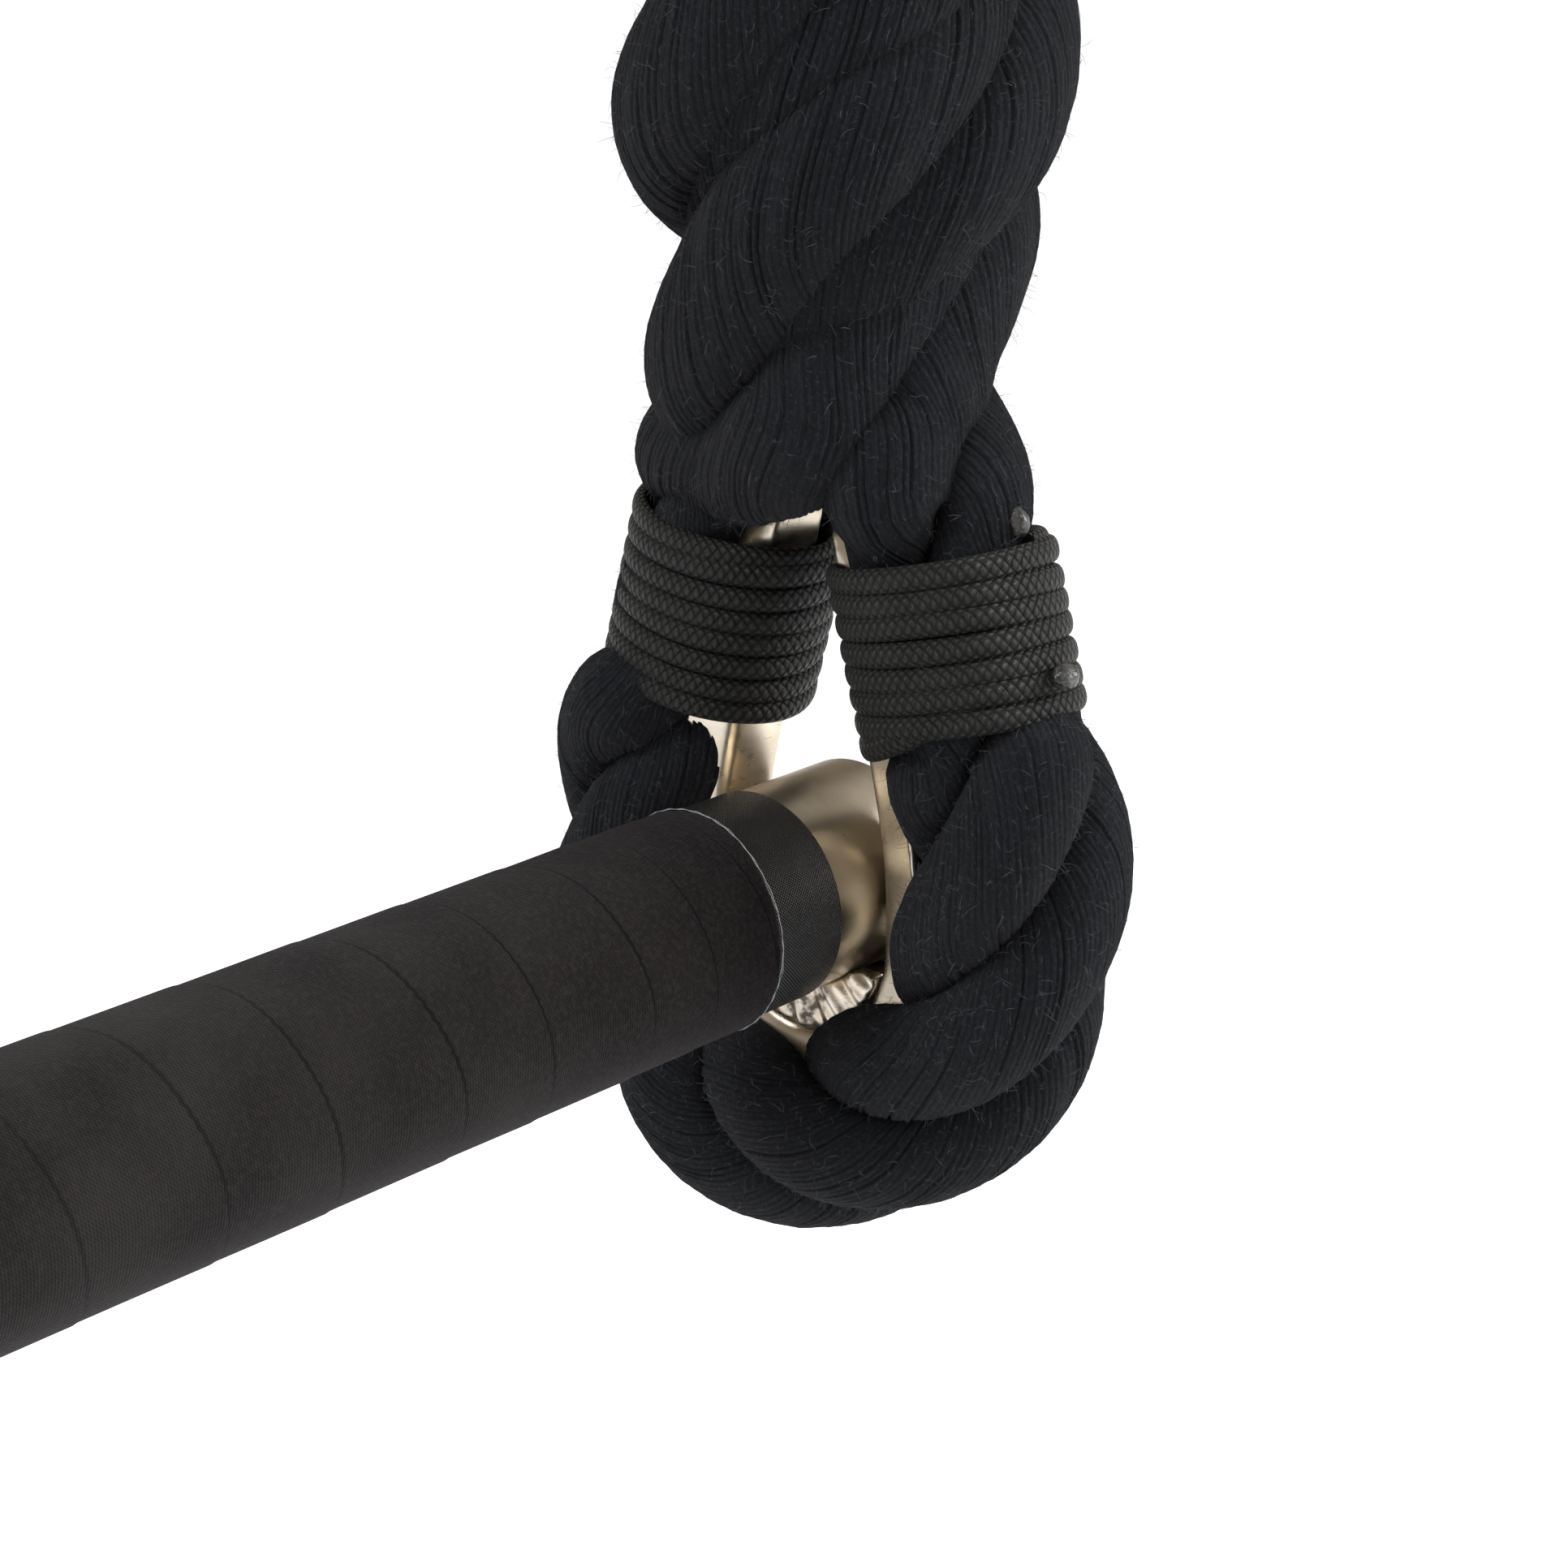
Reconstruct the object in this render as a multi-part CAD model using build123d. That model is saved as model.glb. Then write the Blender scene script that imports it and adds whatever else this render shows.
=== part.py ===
"""Thimble eye of a trapeze: a bar end welded into a channel thimble, a three-strand
rope eye lashed round it, and the short strop that carries it up to a bow shackle.

Frame: millimetres, +Z up.  The origin is where the bar's axis crosses the middle
plane of the thimble.  The bar runs along -Y, the eye lies in the XZ plane.
"""
import math
import os

from build123d import *

os.makedirs("parts", exist_ok=True)

# --- bar ------------------------------------------------------------------
BAR_R = 14.0                # outside of the steel tube
BAR_WALL = 3.0
BAR_INNER_END = -165.0      # open end, where the rest of the bar joins on
BAR_OUTER_END = 7.0         # just past the thimble's back edge
BAR_EDGE_ROUND = 0.8
PLUG_SEAT_DEPTH = 3.5       # counterbore that the plug is pressed into
PLUG_SEAT_STEP = 0.6        # the counterbore is this much wider than the bore, on the radius
PLUG_SET_BACK = 0.5         # the plug's face sits just inside the bar's end

# --- tape on the bar --------------------------------------------------------
BAND_OUTER_EDGE = -13.0     # cloth band nearest the thimble
BAND_WIDTH = 12.0
BAND_THICKNESS = 0.35
GRIP_THICKNESS = 1.0        # half-lapped cotton grip tape
GRIP_INNER_END = -162.0

# --- channel thimble ---------------------------------------------------------
EYE_ROOM = 0.5              # the web's round is this much wider than the bar
EYE_R = BAR_R + EYE_ROOM    # inner radius of the web round the bar
EYE_DROP = 6.3              # the round of the eye is centred this far below the bar
WEB_WALL = 2.4
WEB_WIDTH = 11.0
WEB_CORNER = 1.0            # eased edge of the web's inner face
FLANGE_LENGTH = 5.3
FLANGE_WALL = 1.6
FLANGE_FLARE = 20.0         # degrees that each flange opens outwards
LEG_CORNER_Z = 6.0          # height where the legs start to close in
LEG_BEND_R = 60.0
TIP_Z = 49.0
TIP_X = 4.5                 # half the gap between the two tips
TIP_TAPER = 2.5             # each side of the tip narrows by this much
TIP_TAPER_LENGTH = 9.0

# --- weld -------------------------------------------------------------------
WELD_TOP_Z = -10.0
WELD_INNER_Y = 3.0
WELD_OUTER_Y = 7.2

# --- rope --------------------------------------------------------------------
ROPE_R = 14.7
ROPE_BITE = 1.0             # how far the rope beds into the channel
BED_OVERCUT = 3.0           # the rope's bed is cut clear through to the eye's open side
BED_GAP = 0.15              # between the rope and the channel's faces
TIP_CLEAR = 0.6             # the bed runs on past the thimble's tip
ROPE_CORNER_Z = 4.7
ROPE_LEG_SLOPE = 0.277      # sideways closing of the rope's legs per unit of height
ROPE_BEND_R = 60.0
ROPE_TOP_R = ROPE_R - 0.7   # leg where it enters the splice

# --- whippings ----------------------------------------------------------------
WHIP_THICKNESS = 2.0        # flattened cord
WHIP_HALF_X = ROPE_R - 1.3  # rope and thimble leg under the cord, across the eye
WHIP_HALF_Y = ROPE_R - 2.9  # and through the eye
WHIP_SHIFT = -1.3           # the lashed bundle sits this far inside the rope's line
LEFT_WHIP = (23.5, 48.5)    # heights of the lower and upper turn on the leg's line
RIGHT_WHIP = (25.5, 50.0)
CORD_R = 1.8
CORD_END_LENGTH = 5.0
CORD_END_RISE = 6.0         # the lower end stands this far above the first turn
CORD_END_POKE = 0.4         # share of the upper end that shows above the last turn

# --- splice --------------------------------------------------------------------
SPLICE_BOTTOM = 54.0
SPLICE_MID = 94.0           # the strop is the same above and below this height
SPLICE_END_R = ROPE_R + 11.8
SPLICE_WAIST_R = ROPE_R + 8.3
SPLICE_WAIST_Z = SPLICE_MID - 15
SPLICE_BELLY_R = ROPE_R + 13.3
SPLICE_BELLY_Z = SPLICE_MID + 13

# --- bow shackle ----------------------------------------------------------------
BOW_R = 8.0
BOW_INNER_R = 21.5
CROWN_GAP = 1.1             # the bow's curve clears the flat web by this much
JAW_GAP = 27.0
PIN_R = 9.5
PIN_RUNNING_GAP = 0.05
PIN_ABOVE_BOW = 60.0        # inside length, bow to pin
EAR_R = 19.0
COLLAR_R = 14.0
COLLAR_LENGTH = 4.0
COLLAR_GAP = 0.3
PIN_TAIL = 4.0
PIN_EYE_R = 12.0
PIN_EYE_HOLE_R = 5.0
PIN_EYE_WALL = 8.0
PIN_EYE_SINK = 2.0          # the flat eye is forged into the collar by this much
EAR_EDGE_ROUND = 1.5
PIN_EYE_EDGE_ROUND = 1.5
COLLAR_EDGE_ROUND = 0.8
PIN_TAIL_CHAMFER = 1.2
SPOT_FACE_MARGIN = 1.0      # the ear's flat for the collar is this much wider all round
THREAD_DEPTH = 0.6
THREAD_PITCH = 2.5
THREAD_RUNOUT = 2.0         # plain length at each end of the thread


def write(name, shape):
    export_step(shape, f"parts/{name}.step")
    return shape


def upside(shape):
    """The same piece at the upper end of the strop."""
    flipped = mirror(shape, about=Plane.XY)
    return Pos(0, 0, 2 * SPLICE_MID) * flipped


def along_y(radius, start, end):
    """A solid cylinder on the bar's axis from y = start to y = end."""
    middle = (start + end) / 2
    return Pos(0, middle, 0) * (Rot(90, 0, 0) * Cylinder(radius, end - start))


def sleeve_y(outer, inner, start, end):
    return along_y(outer, start, end) - along_y(inner, start, end)


def eye_path(radius, corner_z, bend_r, top_x, top_z):
    """Teardrop line: a half circle under the bar, upright sides, then closing legs."""
    corner = (radius, 0, corner_z)
    low = (radius, 0, -EYE_DROP)
    right = FilletPolyline((top_x, 0, top_z), corner, low, radius=bend_r)
    bottom = ThreePointArc(low, (0, 0, -EYE_DROP - radius), (-radius, 0, -EYE_DROP))
    left = FilletPolyline(
        (-radius, 0, -EYE_DROP), (-radius, 0, corner_z), (-top_x, 0, top_z), radius=bend_r
    )
    return Wire(right.edges() + bottom.edges() + left.edges())


def section_plane(path):
    """Plane across the start of a path, its x pointing away from the eye."""
    tangent = path % 0
    outward = Vector(0, 1, 0).cross(tangent)
    if outward.X < 0:
        outward = -outward
    return Plane(origin=path @ 0, x_dir=outward, z_dir=tangent)


def rope_leg_x(z):
    return EYE_R + WEB_WALL + ROPE_R - ROPE_BITE - (z - ROPE_CORNER_Z) * ROPE_LEG_SLOPE


def leg_place(side, z):
    """Frame on a rope leg: x points away from the eye, z runs up along the leg."""
    x_dir = Vector(side, 0, ROPE_LEG_SLOPE).normalized()
    z_dir = Vector(-side * ROPE_LEG_SLOPE, 0, 1).normalized()
    return Plane(origin=(side * rope_leg_x(z), 0, z), x_dir=x_dir, z_dir=z_dir)


def oval_on_leg(side, low, high, half_x, half_y):
    """An oval prism round the lashed leg between two heights on the leg's line."""
    length = (high - low) * math.hypot(1, ROPE_LEG_SLOPE)
    outline = Pos(WHIP_SHIFT, 0, 0) * Ellipse(half_x, half_y)
    return leg_place(side, low) * extrude(outline, amount=length)


# --- thimble -----------------------------------------------------------------
def channel_profile():
    """Web and two flared flanges; x points away from the eye, web inner face at x = 0."""
    flare = math.radians(FLANGE_FLARE)
    half = WEB_WIDTH / 2
    reach = FLANGE_LENGTH * math.cos(flare)
    spread = FLANGE_LENGTH * math.sin(flare)
    foot = FLANGE_WALL / math.cos(flare)
    right_side = [
        (0, half - WEB_CORNER),
        (WEB_CORNER, half),
        (WEB_WALL + reach, half + spread),
        (WEB_WALL + reach, half + spread - foot),
        (WEB_WALL, half - foot),
    ]
    left_side = [(x, -y) for x, y in reversed(right_side)]
    return make_face(Polyline(*right_side, *left_side, close=True))


def make_thimble():
    path = eye_path(EYE_R, LEG_CORNER_Z, LEG_BEND_R, TIP_X, TIP_Z)
    body = sweep(section_plane(path) * channel_profile(), path=path)
    half = WEB_WIDTH / 2 + FLANGE_LENGTH
    reach = 3 * EYE_R
    tip_half = WEB_WIDTH / 2 + FLANGE_LENGTH * math.sin(math.radians(FLANGE_FLARE)) - TIP_TAPER
    for side in (-1, 1):
        wedge = Polyline(
            (side * tip_half, TIP_Z + 5),
            (side * tip_half, TIP_Z),
            (side * (tip_half + TIP_TAPER), TIP_Z - TIP_TAPER_LENGTH),
            (side * half, TIP_Z - TIP_TAPER_LENGTH),
            (side * half, TIP_Z + 5),
            close=True,
        )
        cutter = extrude(Plane.YZ * make_face(wedge), amount=reach, both=True)
        body = body - cutter
    return body


def make_weld(side):
    """Fillet of weld between the bar's underside and the bottom of the thimble."""
    low = min(side * WELD_INNER_Y, side * WELD_OUTER_Y)
    high = max(side * WELD_INNER_Y, side * WELD_OUTER_Y)
    crescent = Pos(0, 0, -EYE_DROP) * along_y(EYE_R, low, high)
    crescent = crescent - along_y(BAR_R, low - 1, high + 1)
    box_height = 4 * EYE_R
    keep = Pos(0, 0, WELD_TOP_Z - box_height / 2) * Box(box_height, box_height, box_height)
    return crescent & keep


# --- rope, whippings and splice -------------------------------------------------
def make_bed():
    """The space that the channel takes out of the rope, from tip to tip."""
    flare = math.radians(FLANGE_FLARE)
    half = WEB_WIDTH / 2 + BED_GAP
    reach = WEB_WALL + FLANGE_LENGTH * math.cos(flare) + BED_GAP
    spread = half + FLANGE_LENGTH * math.sin(flare)
    outline = Polyline(
        (-BED_OVERCUT, half),
        (WEB_CORNER, half),
        (reach, spread),
        (reach, -spread),
        (WEB_CORNER, -half),
        (-BED_OVERCUT, -half),
        close=True,
    )
    closing = (EYE_R - TIP_X) / (TIP_Z - LEG_CORNER_Z)
    top_x = TIP_X - closing * TIP_CLEAR
    path = eye_path(EYE_R, LEG_CORNER_Z, LEG_BEND_R, top_x, TIP_Z + TIP_CLEAR)
    return sweep(section_plane(path) * make_face(outline), path=path)


def make_rope_eye():
    """Rope from one splice entry round the thimble to the other."""
    radius = EYE_R + WEB_WALL + ROPE_R - ROPE_BITE
    path_top = min(LEFT_WHIP[0], RIGHT_WHIP[0])
    path = eye_path(radius, ROPE_CORNER_Z, ROPE_BEND_R, rope_leg_x(path_top), path_top)
    rope = sweep(section_plane(path) * Circle(ROPE_R), path=path)
    print("rope eye centreline", round(path.length, 1), "bend radius", radius)
    for side, (low, high) in ((-1, LEFT_WHIP), (1, RIGHT_WHIP)):
        stretch = math.hypot(1, ROPE_LEG_SLOPE)
        if low > path_top:
            rope = rope + leg_place(side, path_top) * Cylinder(
                ROPE_R, (low - path_top) * stretch, align=(Align.CENTER, Align.CENTER, Align.MIN)
            )
        rope = rope + oval_on_leg(side, low, high, WHIP_HALF_X, WHIP_HALF_Y)
        rise = SPLICE_BOTTOM + ROPE_R - high
        rope = rope + leg_place(side, high) * Cylinder(
            ROPE_TOP_R, rise * stretch, align=(Align.CENTER, Align.CENTER, Align.MIN)
        )
    cap_size = 12 * ROPE_R
    rope = rope - Pos(0, 0, SPLICE_BOTTOM + cap_size / 2) * Box(cap_size, cap_size, cap_size)
    return rope - make_bed()


def make_whipping(side, low, high, thimble):
    outer = oval_on_leg(
        side, low, high, WHIP_HALF_X + WHIP_THICKNESS, WHIP_HALF_Y + WHIP_THICKNESS
    )
    inner = oval_on_leg(side, low, high, WHIP_HALF_X, WHIP_HALF_Y)
    return outer - inner - thimble


def make_cord_ends(side, low, high):
    """The two heat-sealed cord ends of a whipping: one outside it, one over its top."""
    reach = WHIP_HALF_X + WHIP_THICKNESS + WHIP_SHIFT
    lower_end = Pos(reach, 0, 0) * (Rot(90, 0, 0) * Cylinder(CORD_R, CORD_END_LENGTH))
    upper_end = Pos(reach - WHIP_THICKNESS, 0, 0) * Cylinder(CORD_R, CORD_END_LENGTH)
    return [
        leg_place(side, low + CORD_END_RISE) * lower_end,
        leg_place(side, high + CORD_END_POKE * CORD_END_LENGTH) * upper_end,
    ]


def make_splice():
    """Closed outer shape of the six strands where the two legs are spliced together."""
    top = 2 * SPLICE_MID - SPLICE_BOTTOM
    foot = (SPLICE_END_R, 0, SPLICE_BOTTOM)
    belly = (SPLICE_BELLY_R, 0, SPLICE_BELLY_Z)
    head = (SPLICE_END_R, 0, top)
    upper_waist = (SPLICE_WAIST_R, 0, (SPLICE_BELLY_Z + top) / 2)
    side = ThreePointArc(foot, (SPLICE_WAIST_R, 0, SPLICE_WAIST_Z), belly)
    side = side + ThreePointArc(belly, upper_waist, head)
    outline = side + Polyline(head, (0, 0, top), (0, 0, SPLICE_BOTTOM), foot)
    return revolve(make_face(outline.edges()), axis=Axis.Z)


# --- bow shackle ---------------------------------------------------------------
CROWN_Z = 2 * SPLICE_MID + EYE_DROP + EYE_R
BOW_Z = CROWN_Z - CROWN_GAP - BOW_R             # middle of the bow's bar, the swing axis
BOW_RING_R = BOW_INNER_R + BOW_R
BOW_CENTRE_Z = BOW_Z + BOW_RING_R
PIN_Z = BOW_Z + BOW_R + PIN_ABOVE_BOW + PIN_R
EAR_MID_Y = JAW_GAP / 2 + BOW_R


def make_shackle_bow():
    rise = PIN_Z - BOW_CENTRE_Z
    reach = math.hypot(EAR_MID_Y, rise)
    touch = math.atan2(rise, EAR_MID_Y) - math.acos(BOW_RING_R / reach)
    touch_y = BOW_RING_R * math.cos(touch)
    touch_z = BOW_CENTRE_Z + BOW_RING_R * math.sin(touch)
    leg_a = Line((0, EAR_MID_Y, PIN_Z), (0, touch_y, touch_z))
    ring = ThreePointArc((0, touch_y, touch_z), (0, 0, BOW_Z), (0, -touch_y, touch_z))
    leg_b = Line((0, -touch_y, touch_z), (0, -EAR_MID_Y, PIN_Z))
    path = Wire(leg_a.edges() + ring.edges() + leg_b.edges())
    bar = Plane(origin=path @ 0, z_dir=path % 0) * Circle(BOW_R)
    bow = sweep(bar, path=path)
    jaw = JAW_GAP / 2
    for side in (-1, 1):
        near, far = sorted((side * jaw, side * (jaw + 2 * BOW_R)))
        ear = Pos(0, 0, PIN_Z) * along_y(EAR_R, near, far)
        ear = fillet(ear.edges(), radius=EAR_EDGE_ROUND)
        bow = bow + ear
    bow = bow - Pos(0, 0, PIN_Z) * Box(3 * EAR_R, JAW_GAP, 2 * EAR_R)
    hole = along_y(PIN_R + PIN_RUNNING_GAP, -3 * EAR_R, 3 * EAR_R)
    ear_face = jaw + 2 * BOW_R
    spot_face = along_y(COLLAR_R + SPOT_FACE_MARGIN, -3 * EAR_R, -ear_face)
    return bow - Pos(0, 0, PIN_Z) * (hole + spot_face)


def make_shackle_pin():
    """Screw pin: shank, thread grooves in the far ear, collar and flat eye."""
    ear_face = JAW_GAP / 2 + 2 * BOW_R
    tail = ear_face + PIN_TAIL
    collar_start = -ear_face - COLLAR_GAP
    pin = along_y(PIN_R, collar_start - 1, tail)
    tail_edges = pin.faces().sort_by(Axis.Y)[-1].edges()
    pin = chamfer(tail_edges, PIN_TAIL_CHAMFER)
    thread_start = JAW_GAP / 2 + THREAD_RUNOUT
    for i in range(int((tail - thread_start - THREAD_RUNOUT) / THREAD_PITCH)):
        y = thread_start + (i + 0.5) * THREAD_PITCH
        low = y - THREAD_PITCH / 4
        groove = sleeve_y(PIN_R + 1, PIN_R - THREAD_DEPTH, low, low + THREAD_PITCH / 2)
        pin = pin - groove
    collar = along_y(COLLAR_R, collar_start - COLLAR_LENGTH, collar_start)
    collar = fillet(collar.edges(), radius=COLLAR_EDGE_ROUND)
    eye_y = collar_start - COLLAR_LENGTH - PIN_EYE_R + PIN_EYE_SINK
    plate = Cylinder(PIN_EYE_R, PIN_EYE_WALL) - Cylinder(PIN_EYE_HOLE_R, 2 * PIN_EYE_WALL)
    plate = fillet(plate.edges(), radius=PIN_EYE_EDGE_ROUND)
    plate = Pos(0, eye_y, 0) * (Rot(0, 90, 0) * plate)
    return Pos(0, 0, PIN_Z) * (pin + collar + plate)


# --- build and write ---------------------------------------------------------------
bar = sleeve_y(BAR_R, BAR_R - BAR_WALL, BAR_INNER_END, BAR_OUTER_END)
rim = bar.faces().sort_by(Axis.Y)[-1].edges().sort_by(SortBy.LENGTH)[-1]
bar = fillet(rim, radius=BAR_EDGE_ROUND)
plug_r = BAR_R - BAR_WALL + PLUG_SEAT_STEP
plug_seat_y = BAR_OUTER_END - PLUG_SEAT_DEPTH
write("bar_tube", bar - along_y(plug_r, plug_seat_y, BAR_OUTER_END + 1))
write("bar_end_plug", along_y(plug_r, plug_seat_y, BAR_OUTER_END - PLUG_SET_BACK))

band_inner_edge = BAND_OUTER_EDGE - BAND_WIDTH
write("grip_tape", sleeve_y(BAR_R + GRIP_THICKNESS, BAR_R, GRIP_INNER_END, band_inner_edge))
write("tape_end_band", sleeve_y(BAR_R + BAND_THICKNESS, BAR_R, band_inner_edge, BAND_OUTER_EDGE))

thimble = make_thimble()
write("lower_thimble", thimble)
write("upper_thimble", upside(thimble))
write("weld_front", make_weld(-1))
write("weld_back", make_weld(1))

rope_eye = make_rope_eye()
write("lower_rope_eye", rope_eye)
write("upper_rope_eye", upside(rope_eye))
write("rope_splice", make_splice())

for side, label, (low, high) in ((-1, "left", LEFT_WHIP), (1, "right", RIGHT_WHIP)):
    whipping = make_whipping(side, low, high, thimble)
    write(f"lower_whipping_{label}", whipping)
    write(f"upper_whipping_{label}", upside(whipping))
    lashed = oval_on_leg(
        side, low, high, WHIP_HALF_X + WHIP_THICKNESS, WHIP_HALF_Y + WHIP_THICKNESS
    )
    ends = [end - lashed - rope_eye for end in make_cord_ends(side, low, high)]
    pair = Compound(children=[end.solids().sort_by(SortBy.VOLUME)[-1] for end in ends])
    write(f"lower_cord_ends_{label}", pair)
    write(f"upper_cord_ends_{label}", upside(pair))

write("shackle_bow", make_shackle_bow())
write("shackle_pin", make_shackle_pin())

print("swing axis z", round(BOW_Z, 2), "pin z", round(PIN_Z, 2), "crown z", round(CROWN_Z, 2))
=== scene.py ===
"""The looks of a trapeze bar's thimble eye: rope, lashings, tape, steel and shackle."""
import math
import random

import bpy
import numpy as np
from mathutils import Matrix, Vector


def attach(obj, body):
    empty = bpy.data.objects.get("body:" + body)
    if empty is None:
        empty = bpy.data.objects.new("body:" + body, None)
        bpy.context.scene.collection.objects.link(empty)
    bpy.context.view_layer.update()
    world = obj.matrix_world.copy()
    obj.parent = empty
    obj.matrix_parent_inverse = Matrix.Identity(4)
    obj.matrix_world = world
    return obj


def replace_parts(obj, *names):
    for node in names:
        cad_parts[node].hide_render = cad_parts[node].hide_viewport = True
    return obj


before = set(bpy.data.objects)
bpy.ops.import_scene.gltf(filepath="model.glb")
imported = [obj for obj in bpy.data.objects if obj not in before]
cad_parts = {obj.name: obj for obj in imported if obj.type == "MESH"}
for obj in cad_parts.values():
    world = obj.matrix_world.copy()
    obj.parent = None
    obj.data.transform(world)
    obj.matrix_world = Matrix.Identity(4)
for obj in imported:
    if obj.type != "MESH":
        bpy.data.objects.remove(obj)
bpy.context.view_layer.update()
MM = 0.001

# ---------------------------------------------------------------------------
# Studio.  A plain white sweep far below the hanging eye, one large soft key
# light high on the left, two weaker ones, and a camera beside the bar.
# ---------------------------------------------------------------------------
FLOOR_Z = -0.42
CAMERA_PLACE = (0.2435, -0.276, 0.1412)
CAMERA_YAW = 42.29
CAMERA_TILT = 19.3
CAMERA_LENS = 67.08

bpy.ops.object.select_all(action="DESELECT")
bpy.ops.object.camera_add(
    location=CAMERA_PLACE,
    rotation=(math.radians(90 - CAMERA_TILT), 0, math.radians(CAMERA_YAW)),
)
camera = bpy.context.object
camera.data.lens = CAMERA_LENS
camera.data.sensor_width = 36
camera.data.clip_start = 0.01
bpy.context.scene.camera = camera
bpy.context.scene.view_settings.view_transform = "Standard"


def soft_light(name, place, aim, size, watts):
    """A round studio light that faces its aim."""
    bpy.ops.object.light_add(type="AREA", location=place)
    light = bpy.context.object
    light.name = name
    light.data.shape = "DISK"
    light.data.size = size
    light.data.energy = watts
    away = Vector(place) - Vector(aim)
    light.rotation_euler = away.to_track_quat("Z", "Y").to_euler()


soft_light("key_light", (-0.55, -0.75, 0.95), (0, 0, 0.05), 0.5, 16.0)
soft_light("side_fill", (0.95, -0.15, 0.35), (0, 0, 0.03), 0.6, 5.0)
soft_light("rim_light", (0.56, 0.66, 0.45), (0, 0, 0.0), 0.42, 13.0)

world = bpy.data.worlds.new("studio_white")
world.use_nodes = True
tree = world.node_tree
background = tree.nodes["Background"]
background.inputs["Strength"].default_value = 1.12
direction = tree.nodes.new("ShaderNodeTexCoord")
height = tree.nodes.new("ShaderNodeSeparateXYZ")
shade = tree.nodes.new("ShaderNodeValToRGB")
ray = tree.nodes.new("ShaderNodeLightPath")
mixed = tree.nodes.new("ShaderNodeMix")
mixed.data_type = "RGBA"
shade.color_ramp.elements[0].position = 0.30
shade.color_ramp.elements[0].color = (0.30, 0.26, 0.20, 1)
shade.color_ramp.elements[1].position = 0.85
shade.color_ramp.elements[1].color = (1.0, 0.97, 0.92, 1)
room = shade.color_ramp.elements.new(0.52)
room.color = (0.12, 0.10, 0.08, 1)
tree.links.new(direction.outputs["Generated"], height.inputs[0])
tree.links.new(height.outputs["Z"], shade.inputs[0])
tree.links.new(ray.outputs["Is Glossy Ray"], mixed.inputs[0])
mixed.inputs[6].default_value = (1, 1, 1, 1)
tree.links.new(shade.outputs["Color"], mixed.inputs[7])
tree.links.new(mixed.outputs[2], background.inputs["Color"])
bpy.context.scene.world = world

bpy.ops.mesh.primitive_plane_add(size=60, location=(0, 0, FLOOR_Z))
floor = bpy.context.object
floor.name = "floor"


# ---------------------------------------------------------------------------
# Materials.  Small helpers for node work, first used by the floor's matt white.
# ---------------------------------------------------------------------------
class Finish:
    """A material being made: adds nodes, and takes numbers or sockets alike."""

    def __init__(self, name, colour, roughness, metallic=0.0):
        self.material = bpy.data.materials.new(name)
        self.material.use_nodes = True
        self.tree = self.material.node_tree
        self.shader = self.tree.nodes["Principled BSDF"]
        self.shader.inputs["Base Color"].default_value = (*colour, 1)
        self.shader.inputs["Roughness"].default_value = roughness
        self.shader.inputs["Metallic"].default_value = metallic

    def add(self, kind, **settings):
        node = self.tree.nodes.new(kind)
        for key, value in settings.items():
            setattr(node, key, value)
        return node

    def put(self, socket, value):
        if isinstance(value, bpy.types.NodeSocket):
            self.tree.links.new(value, socket)
        else:
            socket.default_value = value

    def math(self, operation, a, b=0.0, c=0.0):
        node = self.add("ShaderNodeMath", operation=operation)
        for socket, value in zip(node.inputs, (a, b, c)):
            self.put(socket, value)
        return node.outputs[0]

    def object_place(self):
        return self.add("ShaderNodeTexCoord").outputs["Object"]

    def own_uv(self):
        return self.add("ShaderNodeUVMap", uv_map="UVMap").outputs["UV"]

    def parts(self, vector):
        node = self.add("ShaderNodeSeparateXYZ")
        self.put(node.inputs[0], vector)
        return node.outputs

    def join(self, x, y, z=0.0):
        node = self.add("ShaderNodeCombineXYZ")
        for socket, value in zip(node.inputs, (x, y, z)):
            self.put(socket, value)
        return node.outputs[0]

    def noise(self, vector, scale, detail=4.0, rough=0.55):
        node = self.add("ShaderNodeTexNoise")
        self.put(node.inputs["Vector"], vector)
        node.inputs["Scale"].default_value = scale
        node.inputs["Detail"].default_value = detail
        node.inputs["Roughness"].default_value = rough
        return node.outputs["Fac"]

    def ramp(self, value, low, high, start, end):
        node = self.add("ShaderNodeMapRange", clamp=True)
        for socket, item in zip(node.inputs, (value, low, high, start, end)):
            self.put(socket, item)
        return node.outputs[0]

    def blend(self, share, first, second):
        node = self.add("ShaderNodeMix", data_type="RGBA")
        self.put(node.inputs[0], share)
        for socket, item in ((node.inputs[6], first), (node.inputs[7], second)):
            self.put(socket, item if isinstance(item, bpy.types.NodeSocket) else (*item, 1))
        return node.outputs[2]

    def relief(self, height, distance, strength=1.0, below=None):
        node = self.add("ShaderNodeBump")
        node.inputs["Strength"].default_value = strength
        node.inputs["Distance"].default_value = distance
        self.put(node.inputs["Height"], height)
        if below is not None:
            self.put(node.inputs["Normal"], below)
        return node.outputs[0]

    def use(self, **sockets):
        for name, value in sockets.items():
            self.put(self.shader.inputs[name.replace("_", " ")], value)
        return self.material


floor_white = Finish("floor_white", (0.96, 0.96, 0.96), 0.9)
floor_grain = floor_white.noise(floor_white.object_place(), 40)
floor_white.use(Roughness=floor_white.ramp(floor_grain, 0, 1, 0.85, 0.95))
floor.data.materials.append(floor_white.material)


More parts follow.
